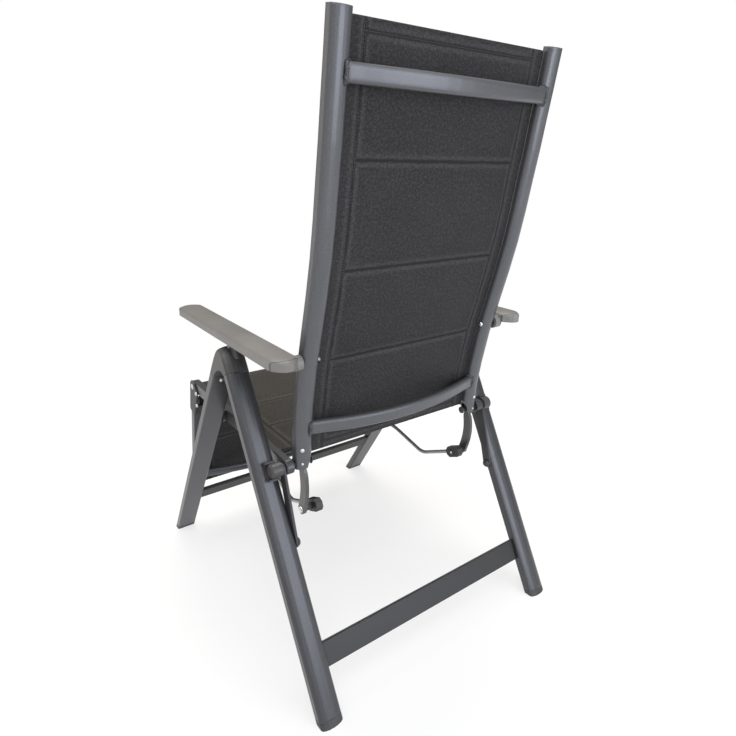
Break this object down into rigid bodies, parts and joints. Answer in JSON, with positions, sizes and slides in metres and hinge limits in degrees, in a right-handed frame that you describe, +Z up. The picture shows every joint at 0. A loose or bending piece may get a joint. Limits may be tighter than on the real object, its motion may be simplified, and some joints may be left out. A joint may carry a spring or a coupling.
{
  "type": "sling patio chair",
  "caption": "Folding high-back patio chair with padded mesh slings, a reclining back, a coupled footrest and lift-up armrests on notched racks.",
  "frame": {"origin": "centre of the overall box at floor level", "axes": "+X to the sitter's left, -Y to the front, +Z up"},
  "size_m": [0.598, 0.7544, 1.1014],
  "materials": {
    "frame": "satin powder coat",
    "flat_bar": "satin powder coat",
    "plastic": "fine matt texture",
    "armrest": "satin",
    "fabric": "coated mesh weave",
    "bright": "plain"
  },
  "bodies": {
    "front_frame": {"front_leg_left": "frame", "front_leg_right": "frame", "front_foot_left": "plastic", "front_foot_right": "plastic", "elbow_left": "frame", "elbow_right": "frame", "hinge_pin_left": "bright", "hinge_pin_right": "bright", "armrest_post_left": "flat_bar", "armrest_post_right": "flat_bar", "seat_boss_left": "plastic", "seat_boss_right": "plastic", "front_stretcher": "frame"},
    "rear_frame": {"rear_leg_left": "frame", "rear_leg_right": "frame", "rear_foot_left": "plastic", "rear_foot_right": "plastic", "hinge_tongue_left": "plastic", "hinge_tongue_right": "plastic", "hub_saddle_left": "plastic", "hub_saddle_right": "plastic", "link_pin_left": "bright", "link_pin_right": "bright", "rear_stretcher": "frame"},
    "links": {"link_left": "flat_bar", "link_right": "flat_bar"},
    "seat": {"seat_rail_left": "frame", "seat_rail_right": "frame", "seat_hub_left": "plastic", "seat_hub_right": "plastic", "seat_bar": "frame", "seat_sling": "fabric"},
    "back_pins": {"back_bolt_left": "bright", "back_bolt_right": "bright"},
    "back": {"upright_left": "frame", "upright_right": "frame", "lever_left": "flat_bar", "lever_right": "flat_bar", "top_bar": "frame", "bottom_bar": "frame", "back_sling": "fabric"},
    "foot_pins": {"foot_bolt_left": "bright", "foot_bolt_right": "bright"},
    "footrest": {"foot_rail_left": "frame", "foot_rail_right": "frame", "foot_bracket_left": "flat_bar", "foot_bracket_right": "flat_bar", "foot_bar": "frame", "foot_sling": "fabric"},
    "rod_bolts": {"lever_bolt_left": "bright", "lever_bolt_right": "bright"},
    "rods": {"push_rod_left": "flat_bar", "push_rod_right": "flat_bar"},
    "arm_bolts": {"arm_bolt_left": "bright", "arm_bolt_right": "bright"},
    "arm_bushes": {"arm_bush_left": "plastic", "arm_bush_right": "plastic"},
    "armrest_left_body": {"armrest_left": "armrest"},
    "armrest_right_body": {"armrest_right": "armrest"}
  },
  "joints": [
    {"name": "fold", "type": "hinge", "parent": "front_frame", "child": "rear_frame", "pos_m": [0, 0.0473, 0.578], "axis": [-1, 0, 0], "range_deg": [0, 61.5]},
    {"name": "link_swing", "type": "hinge", "parent": "rear_frame", "child": "links", "pos_m": [0, 0.2173, 0.273], "axis": [-1, 0, 0], "range_deg": [0, 118.85]},
    {"name": "seat_swing", "type": "hinge", "parent": "links", "child": "seat", "pos_m": [0, 0.1813, 0.407], "axis": [1, 0, 0], "range_deg": [0, 87.14]},
    {"name": "back_fold", "type": "hinge", "parent": "seat", "child": "back_pins", "pos_m": [0, 0.1813, 0.407], "axis": [1, 0, 0], "range_deg": [0, 70.91]},
    {"name": "recline", "type": "hinge", "parent": "back_pins", "child": "back", "pos_m": [0, 0.1813, 0.407], "axis": [1, 0, 0], "range_deg": [-45, 0]},
    {"name": "foot_fold", "type": "hinge", "parent": "seat", "child": "foot_pins", "pos_m": [0, -0.2597, 0.426], "axis": [1, 0, 0], "range_deg": [0, 70.91]},
    {"name": "foot_lift", "type": "hinge", "parent": "foot_pins", "child": "footrest", "pos_m": [0, -0.2597, 0.426], "axis": [1, 0, 0], "range_deg": [-45, 0]},
    {"name": "rod_fold", "type": "hinge", "parent": "back", "child": "rod_bolts", "pos_m": [0, 0.1763, 0.306], "axis": [-1, 0, 0], "range_deg": [0, 70.91]},
    {"name": "rod_level", "type": "hinge", "parent": "rod_bolts", "child": "rods", "pos_m": [0, 0.1763, 0.306], "axis": [-1, 0, 0], "range_deg": [-45, 0]},
    {"name": "arm_fold", "type": "hinge", "parent": "back", "child": "arm_bolts", "pos_m": [0, 0.2193, 0.611], "axis": [-1, 0, 0], "range_deg": [0, 98.3]},
    {"name": "arm_level", "type": "hinge", "parent": "arm_bolts", "child": "arm_bushes", "pos_m": [0, 0.2193, 0.611], "axis": [-1, 0, 0], "range_deg": [-28.2, 0]},
    {"name": "armrest_lift_left", "type": "hinge", "parent": "arm_bushes", "child": "armrest_left_body", "pos_m": [0, 0.2193, 0.611], "axis": [-1, 0, 0], "range_deg": [0, 20]},
    {"name": "armrest_lift_right", "type": "hinge", "parent": "arm_bushes", "child": "armrest_right_body", "pos_m": [0, 0.2193, 0.611], "axis": [-1, 0, 0], "range_deg": [0, 20]}
  ],
  "couplings": [
    {"joint": "link_swing", "follows": "fold", "ratio": 1.9325},
    {"joint": "seat_swing", "follows": "fold", "ratio": 1.4169},
    {"joint": "back_fold", "follows": "fold", "ratio": 1.153},
    {"joint": "foot_fold", "follows": "fold", "ratio": 1.153},
    {"joint": "rod_fold", "follows": "fold", "ratio": 1.153},
    {"joint": "arm_fold", "follows": "fold", "ratio": 1.5984},
    {"joint": "foot_lift", "follows": "recline", "ratio": 1},
    {"joint": "rod_level", "follows": "recline", "ratio": 1},
    {"joint": "arm_level", "follows": "recline", "ratio": 0.62667}
  ]
}
